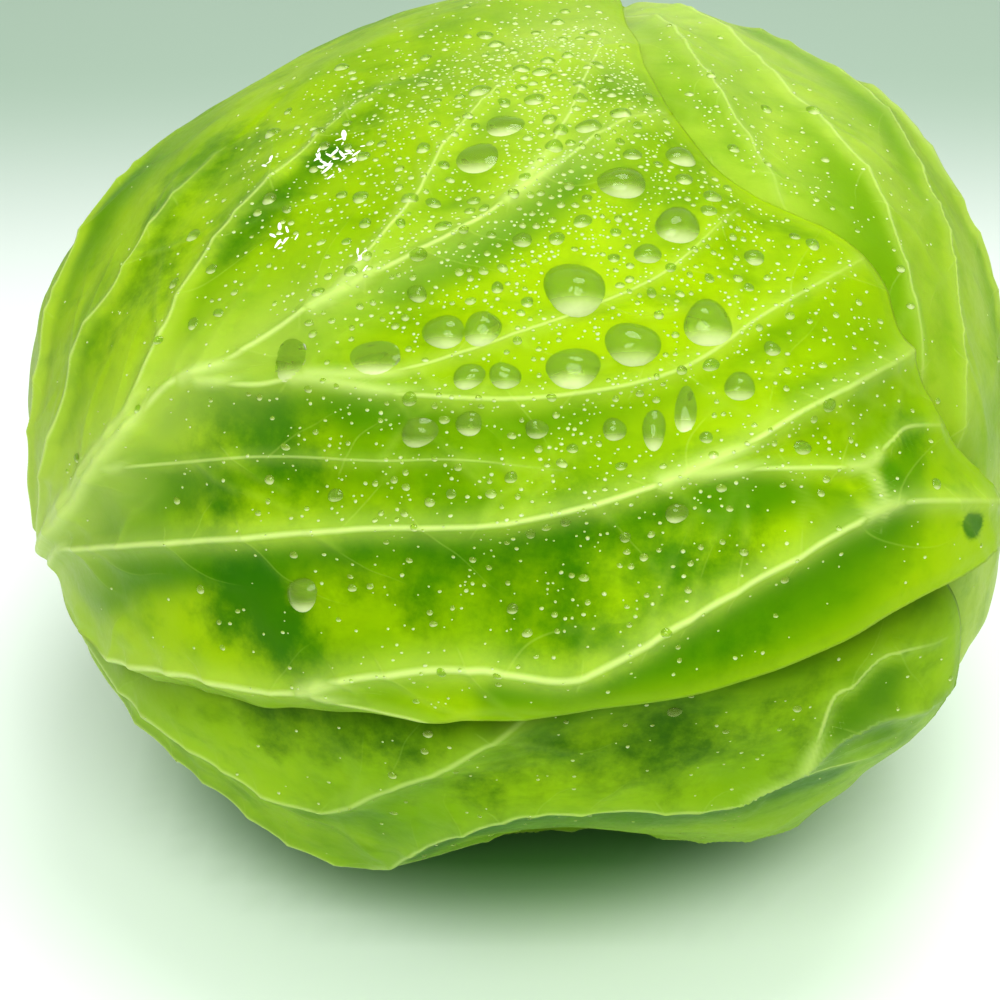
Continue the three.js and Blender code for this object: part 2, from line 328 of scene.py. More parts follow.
class Leaf:
    """One outer leaf: where it lies, its margin, how that margin flares, its ribs, its tinted patches, its
    pale patches that are partly painted highlight, and how strong the painted shade is on it under the
    margins of leaves over it.
    """

    def __init__(self, name, middle, margin, cells, seed, ribs, flares=(), stains=(), blooms=(), shade=0.3):
        self.name, self.margin, self.flares, self.ribs = name, margin, flares, ribs
        self.stains, self.blooms, self.cells, self.seed, self.shade = stains, blooms, cells, seed, shade
        self.veins = side_veins(ribs, seed)
        down, around = middle
        self.pole = toward(down, around)
        self.ahead = toward(down + 90, around)
        self.aside = np.cross(self.ahead, self.pole)
        draw = np.random.default_rng(seed)
        self.waves = [(count, draw.uniform(0.2, 1) * 2.2 / count, draw.uniform(0, 360))
                      for count in range(7, 34, 3)]
        headings = np.arange(0, 360, 0.75)
        self.outline = swing(self.pole, self.ahead, self.aside, headings, self.reach(headings))

    def reach(self, heading):
        """Degrees from the leaf's middle to its slightly wavy margin."""
        wave = sum(size * np.sin(np.radians(count * heading + phase)) for count, size, phase in self.waves)
        return margin_reach(self.margin, heading) + wave

    def lifted(self, heading):
        """Share, 0 to 1, by which the margin stands off what lies under it on each heading."""
        share = np.zeros(len(heading))
        for middle, spread, _, rise in self.flares:
            if rise > 0:
                share = share + 1 - smoothstep(turn_between(heading, middle) / spread, 0.4, 1)
        return share

    def seen(self, ways):
        """Heading of each direction, and how many degrees it lies outside the margin."""
        heading = np.degrees(np.arctan2(ways @ self.aside, ways @ self.ahead))
        side = np.sign(angle_between(ways, self.pole) - self.reach(heading))
        nearest = np.concatenate([(part @ self.outline.T).max(axis=1)
                                  for part in np.array_split(ways, max(1, len(ways) // 20000))])
        return heading, side * np.degrees(np.arccos(np.minimum(nearest, 1)))


LEAVES = [
    Leaf("tip_leaf", (118, 140),
         [(0, 88), (35, 80), (70, 66), (105, 62), (140, 74), (165, 98), (180, 104),
          (195, 98), (220, 74), (255, 62), (290, 66), (325, 80)],
         cells=130, seed=11, ribs=rib_fan(140, 172, 4, 21)),
    Leaf("crown_leaf", (112, -10),
         [(0, 92), (30, 96), (60, 100), (85, 84), (110, 68), (140, 74), (165, 94), (180, 98),
          (195, 94), (220, 76), (250, 68), (280, 74), (310, 82), (335, 86)],
         cells=220, seed=12,
         # pale patches here are a painted highlight haze near the top of the head
         blooms=[((120, -22), 11, 0.55), ((132, -10), 12, 0.3)],
         ribs=[
             Rib([(16, -10), (50, -24), (80, -34), (105, -38), (125, -38), (145, -30), (160, 5)],
                 line=(1.4, 0.6), band=(5, 2), ridge=(1.6, 0.3)),
             Rib([(96, -28), (104, -18), (114, -9), (116, 4), (117, 20), (122, 32)], line=(0.7, 0.35)),
             Rib([(106, -34), (114, -24), (121, -14), (124, 4), (126, 20), (127, 34)]),
             Rib([(112, -38), (120, -28), (127, -18), (134, 0), (139, 22), (139, 46), (134, 70)],
                 line=(0.7, 0.35)),
             Rib([(126, -38), (134, -32), (142, -22), (152, 20), (150, 46), (144, 64), (138, 78)]),
             Rib([(150, -20), (160, 0), (166, 50), (158, 80), (150, 96)]),
             Rib([(118, -38), (122, -52), (132, -66), (140, -80)]),
             Rib([(98, -37), (104, -54), (114, -68), (124, -80)]),
         ]),
    Leaf("lower_back_leaf", (76, 232),
         [(0, 50), (30, 56), (60, 54), (90, 50), (120, 49), (142, 53), (160, 59), (180, 62),
          (200, 60), (218, 54), (240, 49), (270, 50), (300, 53), (330, 53)],
         cells=170, seed=13, ribs=rib_fan(232, 122, 4, 23)),
    Leaf("back_leaf", (74, 302),
         [(0, 52), (30, 50), (60, 50), (90, 48), (116, 48), (142, 51), (160, 57), (180, 60),
          (198, 59), (219, 53), (240, 49), (270, 50), (300, 55), (330, 57)],
         cells=190, seed=14, ribs=rib_fan(302, 122, 4, 24)),
    Leaf("lower_front_leaf", (80, 142),
         [(0, 35), (20, 35), (37, 39), (55, 55), (76, 69), (97, 69), (119, 66), (141, 65), (168, 68),
          (180, 67), (192, 72), (202, 72), (220, 67), (241, 66), (263, 69), (285, 70), (306, 71), (318, 69),
          (325, 61), (330, 48), (337, 39), (348, 35.5)],
         cells=220, seed=15, shade=1.2,
         stains=[((68, 92), 5, 0.5), ((84, 93), 6, 0.6), ((98, 95), 6, 0.6), ((108, 97), 5, 0.5),
                 ((74, 100), 5, 0.4), ((94, 101), 4, 0.5), ((61, 87), 5, 0.7), ((69.5, 88), 5, 0.7),
                 ((52.5, 85), 5, 0.7), ((95, 96), 6, 0.8), ((111.6, 125.7), 0.9, 2)],
         ribs=[
             Rib([(15, 92), (24, 94), (34, 95), (43, 99), (50, 102), (56, 102), (60, 100), (65, 96),
                  (71, 93), (78, 89), (88, 84)],
                 line=(1, 0.6), band=(3, 1.5), ridge=(0.9, 0.4), crest=(1.2, 2.2), spread=7),
             Rib([(15, 105), (28, 108), (42, 114), (52, 121), (59, 122), (65, 112), (72, 105), (78, 102),
                  (84, 103), (94, 106), (100, 108), (104, 107), (108, 105), (112, 102), (117, 102),
                  (122, 105)],
                 line=(0.9, 0.5), band=(3, 1.5), ridge=(0.9, 0.4), crest=(1.2, 2.4), spread=6),
             Rib([(104, 107), (109, 107), (116, 111)], ridge=(0.4, 0.2), crest=(1.2, 0.5), reach=10),
             Rib([(108, 105), (112, 96), (115, 95), (119, 94), (125, 97)], crest=(1.6, 0.8)),
             Rib([(60, 122), (74, 133), (88, 136), (99, 128), (108, 128)], crest=(1, 0.8)),
             Rib([(15, 142), (40, 146), (70, 150), (100, 148), (112, 144)], line=(1.4, 0.6), band=(6, 2),
                 ridge=(1.6, 0.6)),
         ]),
    Leaf("front_leaf", (68, 32),
         [(0, 54), (12, 66), (22, 70), (30, 77), (34, 88), (38, 85), (45, 76), (56, 67), (68, 58.5),
          (81, 52.5), (100, 46.5), (115, 46.5), (130, 47.5), (150, 51), (165, 55), (180, 55), (192, 60),
          (207, 67), (223, 67), (240, 64.5), (258, 62), (275, 64), (292, 69), (306, 73), (319, 63),
          (332, 55), (345, 51)],
         flares=[(70, 52, 15, 5.0), (140, 32, 8, -1.7), (350, 50, 8, -1.4)],
         cells=300, seed=16,
         # the first two pale patches are a painted highlight haze near the top of the head; the rest pale the
         # leaf along its midrib
         blooms=[((110, -2), 9, 0.6), ((101, 18), 7, 0.3), ((18, 50), 9, 0.5), ((30, 49), 6, 0.5),
                 ((42, 46), 5, 0.4), ((52, 41.5), 5, 0.35), ((64, 40), 5, 0.25)],
         stains=[((60, 47), 4, 0.9), ((64, 51), 4.5, 1), ((66, 54), 3.5, 0.9), ((56, 54), 5, 0.8),
                 ((54.6, 60), 4, 0.7), ((57, 67), 4.5, 1.2), ((59, 72), 4, 1.2), ((54, 70), 4, 0.8),
                 ((62, 75), 3.5, 0.9), ((63, 82), 4, 0.6),
                 ((80, 66), 7, 0.5), ((92, 69), 7, 0.6), ((99, 71), 6, 0.6), ((84, 72), 5, 0.5),
                 ((128, 69), 2.5, 0.5), ((104, 79), 7, 0.4), ((88, 80), 5, 0.4),
                 ((62, 5), 6, 0.6), ((68, 22), 5, 0.7), ((77, 16), 5, 0.6), ((51, 20), 5, 0.6),
                 ((55, 10), 5, 0.5),
                 ((71, 65.5), 4, 0.6), ((78, 69), 5, 0.7), ((84.5, 72), 5, 0.8), ((90.5, 73.5), 5, 0.75),
                 ((99, 74), 5, 0.8), ((106, 74), 4, 0.6),
                 # painted shade where the dark notch near the leaf's right tip shows
                 ((130.6, 82.9), 0.6, 2.2), ((131.1, 83.8), 0.75, 2.2), ((131.9, 84.0), 0.55, 2.2)],
         ribs=[
             Rib([(14, 56), (22, 52), (30, 50), (37, 47), (46, 43), (54, 40), (63, 40), (77, 37), (88, 34.5),
                  (98, 30), (107, 24), (115, 20)], line=(0.9, 0.45), band=(8.5, 2.4), ridge=(1.6, 0.3),
                 crest=(1.3, 1), spread=10, pale=(0.9, 0.75)),
             Rib([(20, 52), (30, 48), (37, 45), (47, 40.5), (54, 33), (59, 27), (66, 20), (73, 15), (84, 6)],
                 line=(0.8, 0.4), band=(3, 1), ridge=(0.9, 0.25)),
             Rib([(18, 50), (28, 39), (36, 30), (41, 22), (48, 18), (53, 13), (62, 4)],
                 line=(0.8, 0.4), band=(3, 1), ridge=(0.8, 0.25)),
             Rib([(16, 44), (24, 26), (32, 8), (44, -8), (56, -20)],
                 line=(0.9, 0.4), band=(3, 1), ridge=(0.9, 0.25)),
             Rib([(74, 38), (80, 33), (85.5, 28), (90, 21), (100, 10)], line=(0.5, 0.3), ridge=(0.4, 0.2)),
             Rib([(96, 31), (103, 22), (108, 12), (112, 2)],
                 line=(0.45, 0.3), ridge=(0.3, 0.15), crest=(0.8, 0.3), reach=9),
             Rib([(58, 41), (64, 44), (70, 45.5), (79, 50), (92, 54), (106, 55), (118, 51), (131, 46.5)],
                 line=(0.6, 0.35), band=(2.4, 1), ridge=(0.5, 0.25), crest=(1.2, 0.9)),
             Rib([(70, 45), (79, 47.5), (92, 47), (107, 44.6), (118, 38)], line=(0.4, 0.3), ridge=(0.3, 0.15),
                 crest=(0.9, 0.6), pale=(0.7, 0.5)),
             Rib([(42, 46), (51, 49), (62.5, 52), (75, 56), (83, 58), (91, 61)],
                 line=(0.4, 0.25), ridge=(0.3, 0.1), crest=(0.9, 0.4), pale=(0.6, 0.3)),
             Rib([(18, 60), (26, 56), (32, 57), (47, 59), (69, 62), (86, 65), (103, 65), (119, 62),
                  (133, 60)],
                 line=(0.7, 0.5), band=(2.5, 1.6), ridge=(0.8, 0.5), crest=(1.6, 2.6), spread=8,
                 pale=(0.95, 0.85)),
             Rib([(103, 65), (110, 66.5), (116, 68.5), (121.2, 70.3), (124.5, 69.3), (127.6, 68.6),
                  (132.4, 70.6)],
                 line=(0.5, 0.4), ridge=(0.4, 0.3), crest=(1.4, 1.2), spread=5, reach=12),
             Rib([(120.8, 75.5), (121.6, 72.8), (121.2, 70)], line=(0.4, 0.4), ridge=(0.3, 0.3), crest=(1, 1),
                 spread=3, reach=5),
             Rib([(14, 72), (20, 79), (27, 82), (35, 80.5), (45, 79), (58, 80), (65, 78), (72, 77.5),
                  (80, 78), (88, 80), (98, 77.5), (112, 75.6), (121, 75), (128, 78), (136, 84)],
                 line=(0.9, 0.5), band=(3, 1.6), ridge=(0.9, 0.4), crest=(1.8, 2.4), spread=7,
                 pale=(0.95, 0.85)),
             Rib([(62, 80), (72, 83), (79, 86)], line=(0.7, 0.3), ridge=(0.6, 0.2), crest=(1.6, 0.6)),
         ]),
]


def stacked(seen_all, first, last):
    height = 0
    for heading_outside in seen_all[first:last]:
        height = height + (LEAF_THICKNESS + LEAF_GAP) * (1 - smoothstep(heading_outside[1], 0, CLIMB))
    return height


def degrees_to_mm(angle):
    return np.radians(angle) * MEAN_RADIUS


def patch_field(ways, patches):
    """Strength, from 0, of a leaf's tinted patches or pale, partly painted highlight patches, given as place,
    spread in degrees and strength.
    """
    field = np.zeros(len(ways))
    for place, spread, strength in patches:
        field = np.maximum(field, strength * bell(ways, place, spread))
    return field


def line_masks(kind, fields):
    """Masks from which the material draws the crisp lines of one kind of rib."""
    return {f"{kind}_{part}": fields[part] for part in ("side", "away", "line", "pale", "soft")}


def leaf_faces(order, ways):
    """Outer and inner points of a leaf along each direction, and its masks for the material."""
    leaf = LEAVES[order]
    seen_all = [other.seen(ways) for other in LEAVES]
    heading, outside = seen_all[order]
    inside_mm = degrees_to_mm(-outside)
    ribs, veins = rib_fields(ways, leaf.ribs), rib_fields(ways, leaf.veins)
    # painted shade on this leaf under the margins of the leaves over it, stronger where such a margin lifts
    # off
    exposed, painted_margin_shade = np.ones(len(ways)), np.zeros(len(ways))
    for over, (over_heading, over_outside) in zip(LEAVES[order + 1:], seen_all[order + 1:]):
        exposed = exposed * smoothstep(over_outside, 0.3, 5)
        lifted = 0.35 + 0.65 * over.lifted(over_heading)
        painted_margin_shade = np.maximum(painted_margin_shade, leaf.shade * lifted * (1 - smoothstep(over_outside, -1, 9)))
    flare = 0
    for middle, spread, reach, rise in leaf.flares:
        near = 1 - smoothstep(turn_between(heading, middle), 0, spread)
        flare = flare + rise * near * smoothstep(outside, -reach, 0) ** 1.5
    wave = 0.25 * ripple(ways, 22, leaf.seed) + 0.12 * ripple(ways, 9, leaf.seed + 50)
    ridge = ribs["ridge"] + veins["ridge"]
    fold = ribs["crest"] + veins["crest"]
    lift = (stacked(seen_all, 0, order) + LEAF_GAP + LEAF_THICKNESS + flare
            + exposed * (ridge + fold) + wave - 0.4 * (1 - smoothstep(inside_mm, 0, 2.5)))
    thickness = MARGIN_THICKNESS + (LEAF_THICKNESS - MARGIN_THICKNESS) * smoothstep(inside_mm, 0, 6)
    level = stacked(seen_all, order + 1, len(LEAVES))
    radius = heart_radius(ways)
    outer = keep_above(level, ways, radius + lift)
    inner = keep_above(level + thickness, ways, radius + lift - exposed * ridge - thickness)
    masks = {
        "band": ribs["band"],
        "painted_fold_shading": ribs["painted_fold_shading"],
        "edge": 1 - smoothstep(inside_mm, 0, 5),
        "base": 1 - smoothstep(angle_between(ways, STALK_AXIS), 12, 44),
        "stain": patch_field(ways, leaf.stains),
        "bloom": patch_field(ways, leaf.blooms),
        "painted_margin_shade": painted_margin_shade,
    }
    masks |= line_masks("rib", ribs) | line_masks("vein", veins)
    return CENTRE + ways * outer[:, None], CENTRE + ways * inner[:, None], masks


# ---------------------------------------------------------------- meshes

def make_object(name, points, faces, material, smooth=True):
    """Mesh object from points in millimetres and faces as lists of corner numbers."""
    mesh = bpy.data.meshes.new(name)
    mesh.from_pydata((np.asarray(points) * MM).tolist(), [], faces)
    mesh.validate()
    mesh.update()
    mesh.materials.append(material)
    if smooth:
        mesh.polygons.foreach_set("use_smooth", [True] * len(mesh.polygons))
    made = bpy.data.objects.new(name, mesh)
    bpy.context.scene.collection.objects.link(made)
    return made


def add_mask(made, name, values):
    layer = made.data.attributes.new(name, "FLOAT", "POINT")
    layer.data.foreach_set("value", np.asarray(values, np.float32))


def square_to_disc(cells):
    """Headings in degrees and shares of the reach for a square grid pressed into a disc."""
    line = np.linspace(-1, 1, cells + 1)
    u, v = np.meshgrid(line, line, indexing="ij")
    wide = np.abs(u) >= np.abs(v)
    big = np.where(wide, u, v)
    small = np.where(wide, v, u)
    turn = 45 * small / np.where(big == 0, 1, big)
    heading = np.where(wide, turn + np.where(u < 0, 180, 0), 90 - turn + np.where(v < 0, 180, 0))
    return heading.ravel(), np.abs(big).ravel()


def grid_faces(cells, start, step=1, flip=False):
    """Quads over every step-th line of a grid whose first corner is number start."""
    row = cells + 1
    ticks = np.arange(0, cells, step)
    i, j = np.meshgrid(ticks, ticks, indexing="ij")
    a = (start + i * row + j).ravel()
    quads = np.stack([a, a + step, a + step * row + step, a + step * row], axis=1)
    return (quads[:, ::-1] if flip else quads).tolist()


INNER_STEP = 5  # the hidden inner face of a leaf has one facet for this many of the outer face's


def make_leaf(order, material):
    """One leaf as a closed sheet: a fine outer face, a coarser inner face and the rim between."""
    leaf = LEAVES[order]
    cells = leaf.cells
    heading, share = square_to_disc(cells)
    reach = share * leaf.reach(heading)
    ways = swing(leaf.pole, leaf.ahead, leaf.aside, heading, reach)
    outer, inner, masks = leaf_faces(order, ways)
    row = cells + 1
    count = row * row
    kept = np.zeros((row, row), bool)
    kept[::INNER_STEP, ::INNER_STEP] = True
    kept = kept.ravel()
    inner_number = np.full(count, -1)
    inner_number[kept] = count + np.arange(kept.sum())
    faces = grid_faces(cells, 0)
    coarse = np.array(grid_faces(cells, 0, INNER_STEP, flip=True))
    faces += inner_number[coarse].tolist()
    ring = ([i * row for i in range(cells, 0, -1)] + list(range(0, cells))
            + [i * row + cells for i in range(0, cells)] + [cells * row + j for j in range(cells, 0, -1)])
    total = len(ring)
    for k in range(0, total, INNER_STEP):
        edge = [ring[(k + n) % total] for n in range(INNER_STEP + 1)]
        faces.append(edge[::-1] + [int(inner_number[edge[0]]), int(inner_number[edge[-1]])])
    made = make_object("fine_" + leaf.name, np.vstack([outer, inner[kept]]), faces, material)
    for name, values in masks.items():
        add_mask(made, name, np.concatenate([values, values[kept]]))
    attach(made, "root")
    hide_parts(leaf.name)
    return made


# ---------------------------------------------------------------- materials

def new_material(name):
    material = bpy.data.materials.new(name)
    material.use_nodes = True
    tree = material.node_tree
    tree.nodes.clear()
    return material, tree


def add_node(tree, kind, inputs=None, **settings):
    """Adds a node, sets its properties, and links or sets the inputs named or numbered."""
    made = tree.nodes.new(kind)
    for name, value in settings.items():
        setattr(made, name, value)
    for name, value in (inputs or {}).items():
        if isinstance(value, bpy.types.NodeSocket):
            tree.links.new(value, made.inputs[name])
        else:
            made.inputs[name].default_value = value
    return made


def linear(red, green, blue):
    """Linear colour from display values of 0 to 255."""
    def decode(value):
        value = value / 255
        return value / 12.92 if value <= 0.04045 else ((value + 0.055) / 1.055) ** 2.4
    return (decode(red), decode(green), decode(blue), 1.0)


def mix_colour(tree, factor, first, second):
    """Colour that goes from first to second with the factor; the Mix node's colour sockets go by number."""
    made = add_node(tree, "ShaderNodeMix", {0: factor, 6: first, 7: second}, data_type="RGBA")
    return made.outputs[2]


def arithmetic(tree, operation, first, second=0.0, third=0.0):
    made = add_node(tree, "ShaderNodeMath", {0: first, 1: second, 2: third}, operation=operation)
    return made.outputs[0]


def scaled(tree, value, factor):
    return arithmetic(tree, "MULTIPLY", value, factor)


def noise(tree, where, scale, detail=3.0, roughness=0.55):
    made = add_node(tree, "ShaderNodeTexNoise", {"Vector": where, "Scale": scale, "Detail": detail,
                                                 "Roughness": roughness})
    return made.outputs["Fac"]


def ramp(tree, value, low, high):
    made = add_node(tree, "ShaderNodeMapRange", {"Value": value, "From Min": low, "From Max": high},
                    interpolation_type="SMOOTHSTEP")
    return made.outputs["Result"]


def attribute(tree, name):
    return add_node(tree, "ShaderNodeAttribute", attribute_name=name).outputs["Fac"]


def bump(tree, height, strength, distance, under=None):
    """Normal for a bump of this height, on top of another bump's where that is given."""
    inputs = {"Height": height, "Strength": strength, "Distance": distance}
    if under:
        inputs["Normal"] = under
    return add_node(tree, "ShaderNodeBump", inputs).outputs[0]


def add_surface(tree, inputs, **settings):
    """Makes a Principled shader the material's surface."""
    shader = add_node(tree, "ShaderNodeBsdfPrincipled", inputs, **settings)
    add_node(tree, "ShaderNodeOutputMaterial", {"Surface": shader.outputs[0]})


def pale_line(tree, name):
    """Crisp line where a surface passes over a rib or vein, from its signed distance and half-width."""
    side = arithmetic(tree, "ABSOLUTE", attribute(tree, name + "_side"))
    ratio = arithmetic(tree, "DIVIDE", side, attribute(tree, name + "_line"))
    line = arithmetic(tree, "SUBTRACT", 1.0, ramp(tree, ratio, 0.1, 1.0))
    close = arithmetic(tree, "SUBTRACT", 1.0, ramp(tree, attribute(tree, name + "_away"), *LINE_LIMIT))
    pale = arithmetic(tree, "MULTIPLY", close, attribute(tree, name + "_pale"))
    line = arithmetic(tree, "MULTIPLY", line, pale)
    return arithmetic(tree, "MAXIMUM", line, attribute(tree, name + "_soft"))


def leaf_material(name, main, dark, light, stain, pale, rib):
    """Waxy leaf: mottled green, dark patches, crisp pale ribs and veins, and a lighter base and margin, with
    painted shade below each rib's fold and painted light above it, painted shade under the margins of leaves
    over it, and pale patches that are partly painted highlight.
    """
    material, tree = new_material(name)
    where = add_node(tree, "ShaderNodeTexCoord").outputs["Object"]
    ribs, veins, painted_fold_shading = pale_line(tree, "rib"), pale_line(tree, "vein"), attribute(tree, "painted_fold_shading")
    mottle = ramp(tree, noise(tree, where, 26.0, 4.0), 0.34, 0.64)
    blotch = noise(tree, where, 105.0, 6.0, 0.66)
    patches = ramp(tree, noise(tree, where, 42.0, 5.0, 0.6), 0.46, 0.70)
    drawn = add_node(tree, "ShaderNodeMapping", {"Vector": where, "Scale": (0.3, 1.0, 1.0)}).outputs[0]
    streaks = ramp(tree, noise(tree, drawn, 190.0, 5.0, 0.6), 0.48, 0.78)
    ragged = arithmetic(tree, "MULTIPLY_ADD", blotch, 1.9, attribute(tree, "stain"))
    colour = mix_colour(tree, mottle, main, light)
    layers = [  # where, how strong at most, colour
        (patches, 0.55, dark),
        (streaks, 0.5, dark),
        # painted shade below each rib's fold in the dark colour, and painted light above it in the light
        # colour
        (ramp(tree, painted_fold_shading, 0.0, 0.9), 0.95, dark),
        (ramp(tree, painted_fold_shading, 0.0, -0.9), 0.25, light),
        (ramp(tree, ragged, 1.1, 2.0), 0.9, stain),
        # painted shade under the margins of the leaves over this one, in the stain colour
        (attribute(tree, "painted_margin_shade"), 0.75, stain),
        (attribute(tree, "base"), 0.45, pale),
        # pale patches: partly the leaf's own paleness along the midrib, partly a painted highlight haze near
        # the top of the head
        (attribute(tree, "bloom"), 1.0, pale),
        (attribute(tree, "edge"), 0.45, light),
        (attribute(tree, "band"), 0.5, pale),
        (veins, 0.8, pale),
        (ribs, 0.85, rib),
    ]
    for mask, strength, tint in layers:
        colour = mix_colour(tree, scaled(tree, mask, strength), colour, tint)
    grain = noise(tree, where, 900.0, 2.0)
    raised = bump(tree, arithmetic(tree, "MULTIPLY_ADD", veins, 0.5, ribs), 0.5, 0.0003)
    crinkled = bump(tree, noise(tree, where, 260.0, 3.0), 0.25, 0.0004, raised)
    add_surface(tree, {
        "Base Color": colour, "Roughness": arithmetic(tree, "MULTIPLY_ADD", grain, 0.2, 0.3), "IOR": 1.4,
        "Normal": bump(tree, grain, 0.2, 0.0001, crinkled), "Specular IOR Level": 0.22,
        "Specular Tint": (0.8, 1.0, 0.15, 1.0), "Subsurface Weight": 0.25,
        "Subsurface Radius": (0.5, 1.0, 0.05), "Subsurface Scale": 0.003}, subsurface_method="BURLEY")
    return material


# main, dark, light, stain, pale and rib, as display values; dark also colours the painted shade below rib
# folds, light the painted light above them, stain the painted shade under overlying margins, and pale the
# partly painted highlight patches
LEAF_COLOURS = {
    "green_leaf": [(120, 157, 0), (72, 122, 0), (148, 180, 4), (34, 98, 0), (168, 192, 88), (194, 214, 128)],
    "pale_leaf": [(138, 170, 32), (106, 148, 6), (160, 188, 60), (60, 128, 0), (172, 196, 104),
                  (188, 208, 124)],
    "lower_leaf": [(108, 150, 2), (58, 108, 0), (134, 170, 14), (20, 76, 0), (152, 182, 76), (184, 206, 118)],
}
leaf_looks = {name: leaf_material(name, *(linear(*colour) for colour in colours))
              for name, colours in LEAF_COLOURS.items()}

# each leaf's look and slot
LEAF_LOOKS = {
    "tip_leaf": ("pale_leaf", "pale_leaf"),
    "crown_leaf": ("pale_leaf", "pale_leaf"),
    "lower_back_leaf": ("green_leaf", "green_leaf"),
    "back_leaf": ("green_leaf", "green_leaf"),
    "lower_front_leaf": ("lower_leaf", "green_leaf"),
    "front_leaf": ("green_leaf", "green_leaf"),
}

for number, leaf in enumerate(LEAVES):
    look, slot = LEAF_LOOKS[leaf.name]
    make_leaf(number, leaf_looks[look])

# ---------------------------------------------------------------- water drops

DOWNHILL = unit(np.array([0.0, -0.6, -0.8]))
LEAST_FOLLOWING = 1.6  # millimetres: wider drops follow the leaf under them point by point
MIST = 0.8  # millimetres: narrower drops are mist
APART = 0.58  # least distance between two drops, as a share of their diameters together
CLEAR_IN, CLEAR_OUT = 1.8, 3.5  # degrees inside and outside a margin, with no drops between
DROP_GRIDS = [(3.2, 28, 7), (1.6, 18, 5), (0.8, 12, 4), (0.0, 8, 2)]  # least diameter, sides, rings

# place, diameter in millimetres, width over length, height over half the diameter
LARGE_DROPS = [
    ((98.8, 43.7), 8.5, 1.15, 0.5), ((102.9, 51.1), 7.1, 1.15, 0.5), ((111.2, 50.8), 7.1, 1.0, 0.5),
    ((96.3, 52), 6.8, 1.4, 0.45), ((77.1, 45.4), 6.6, 1.3, 0.16), ((107.5, 31.5), 6.5, 1.25, 0.45),
    ((111.8, 38.5), 6.5, 1.1, 0.4), ((92.7, 24.5), 6.5, 1.0, 0.2), ((84.5, 44.8), 5.6, 1.1, 0.5),
    ((96.7, 20), 5.6, 1.2, 0.25), ((88.4, 45.6), 5.3, 1.1, 0.5), ((62.6, 68.5), 5.1, 1.1, 0.45),
    ((68.5, 42.7), 6.0, 0.7, 0.14), ((79.6, 54.2), 4.8, 1.2, 0.5), ((115.7, 27.9), 4.8, 1.3, 0.5),
    ((111.8, 58.3), 4.4, 1.1, 0.5), ((85.9, 50.1), 4.2, 1.2, 0.5), ((89.4, 51), 4.2, 1.1, 0.5),
    ((107.5, 41.4), 3.7, 1.2, 0.5), ((105.9, 22.6), 3.7, 1.2, 0.5), ((84.7, 54.7), 3.7, 1.2, 0.5),
    ((98.6, 59.1), 3.4, 0.95, 0.5), ((102.4, 60.2), 4.5, 0.6, 0.4), ((106, 59.1), 5.0, 0.45, 0.2),
    ((101.8, 68.4), 3.1, 1.2, 0.5), ((91.1, 57), 3.1, 1.3, 0.5), ((95, 13), 3.4, 1.3, 0.5),
    ((101, 16), 3.0, 1.3, 0.5), ((110, 21), 3.2, 1.3, 0.5), ((103, 10), 2.8, 1.3, 0.5),
    ((119, 44), 3.0, 1.2, 0.5), ((117, 35), 2.8, 1.3, 0.5), ((84, 36), 2.6, 1.2, 0.4),
]
# how many, least and greatest diameter in millimetres
DROP_KINDS = [(190, 1.6, 2.8), (1100, 0.8, 1.6), (6000, 0.3, 0.75)]
# middle and spread, both as down and round, and share of the drops
DROP_CLOUDS = [((98, 38), (16, 18), 0.56), ((96, 14), (13, 11), 0.14), ((112, 40), (10, 16), 0.08),
               ((88, 62), (24, 30), 0.12), ((108, 10), (8, 13), 0.1)]
# painted glints of wet leaf: place, how many, and how far they scatter in millimetres
FLECKS = [((78, 17.5), 22, 2.0), ((75, 16.5), 10, 1.2), ((69.6, 27.6), 10, 1.1), ((77.7, 34.5), 5, 1.2),
          ((69, 14), 4, 0.6)]


def top_leaf(ways):
    """Number of the leaf that lies outermost in each direction, or -1 close to any margin."""
    found = np.full(len(ways), -1)
    open_to_air = np.ones(len(ways), bool)
    for order in range(len(LEAVES) - 1, -1, -1):
        outside = LEAVES[order].seen(ways)[1]
        found[open_to_air & (outside < -CLEAR_IN)] = order
        open_to_air &= outside > CLEAR_OUT
    return found


class Drops:
    """Water drops as parallel lists: direction, diameter, width over length, height share and turn."""

    def __init__(self):
        self.ways, self.sizes, self.shapes = np.zeros((0, 3)), np.zeros(0), np.zeros((0, 3))

    def add(self, ways, sizes, shapes):
        self.ways = np.vstack([self.ways, ways])
        self.sizes = np.concatenate([self.sizes, sizes])
        self.shapes = np.vstack([self.shapes, shapes])

    def clear_of(self, way, size):
        apart = np.linalg.norm(self.ways - way, axis=1) * MEAN_RADIUS
        return not len(apart) or (apart - APART * (self.sizes + size)).min() > 0

    def between_sizes(self, least, greatest):
        return np.flatnonzero((self.sizes >= least) & (self.sizes < greatest))


def scatter_drops():
    draw = np.random.default_rng(40)
    drops = Drops()
    for place, size, wide, tall in LARGE_DROPS:
        drops.add(toward(*place)[None], [size], [[wide, tall, draw.uniform(-0.25, 0.25)]])
    for count, least, greatest in DROP_KINDS:
        cloud = draw.choice(len(DROP_CLOUDS), count, p=[share for _, _, share in DROP_CLOUDS])
        middles = np.array([DROP_CLOUDS[k][0] for k in cloud], float)
        spreads = np.array([DROP_CLOUDS[k][1] for k in cloud], float)
        ways = toward(*(middles + spreads * draw.normal(size=(count, 2))).T)
        sizes = least + (greatest - least) * draw.random(count) ** 2
        for way, size in zip(ways, sizes):
            if drops.clear_of(way, size):
                shape = [draw.uniform(0.95, 1.35), draw.uniform(0.4, 0.6), draw.uniform(-0.4, 0.4)]
                drops.add(way[None], [size], [shape])
    return drops


